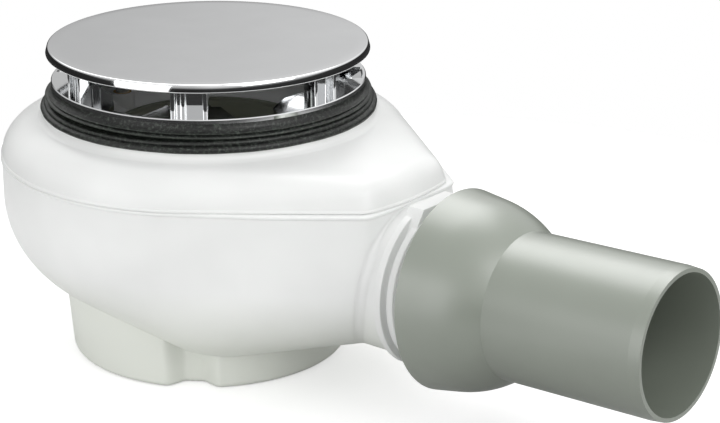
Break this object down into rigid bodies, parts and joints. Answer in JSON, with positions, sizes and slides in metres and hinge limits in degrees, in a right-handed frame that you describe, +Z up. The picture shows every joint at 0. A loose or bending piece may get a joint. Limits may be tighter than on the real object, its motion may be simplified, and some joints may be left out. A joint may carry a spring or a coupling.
{
  "type": "shower tray waste trap",
  "caption": "Low shower tray waste trap: a round chromed cover on short legs, a clamping flange with tray seals, a white bowl with a lift-out water seal insert and a turnable ball outlet",
  "frame": {"origin": "on the surface the cup stands on, on the centre line of the tray hole, the flange and the cover", "axes": "+Z up along the centre line of the tray hole, +X along the outlet neck towards the tailpipe's mouth, +Y to the left when looking along +X"},
  "size_m": [0.2746, 0.1508, 0.1135],
  "materials": {
    "chrome": "mirror bright plating on moulded plastic",
    "screw_steel": "turned stainless steel",
    "insert_brass": "turned, left bare",
    "seal_rubber": "moulded, satin",
    "white_plastic": "moulded, half gloss, a little waxy",
    "insert_plastic": "moulded, satin",
    "spigot_plastic": "moulded, half gloss",
    "pipe_plastic": "moulded, satin"
  },
  "bodies": {
    "trap": {"cover": "chrome", "flange_ring": "chrome", "clamp_screws": "screw_steel", "screw_inserts": "insert_brass", "upper_tray_seal": "seal_rubber", "lower_tray_seal": "seal_rubber", "upper_shell": "white_plastic", "lower_shell": "white_plastic", "trap_insert": "insert_plastic", "insert_seal": "seal_rubber", "ball_spigot": "spigot_plastic", "spigot_seal": "seal_rubber"},
    "swivel": {"ball_seal": "seal_rubber"},
    "outlet_pipe": {"tailpipe": "pipe_plastic"}
  },
  "joints": [
    {"name": "outlet_swivel", "type": "hinge", "parent": "trap", "child": "swivel", "pos_m": [0.1185, 0, 0.0464], "axis": [0, 0, 1], "range_deg": [-8, 8]},
    {"name": "outlet_tilt", "type": "hinge", "parent": "swivel", "child": "outlet_pipe", "pos_m": [0.1185, 0, 0.0464], "axis": [0, 1, 0], "range_deg": [-6.2, 9.8]}
  ]
}
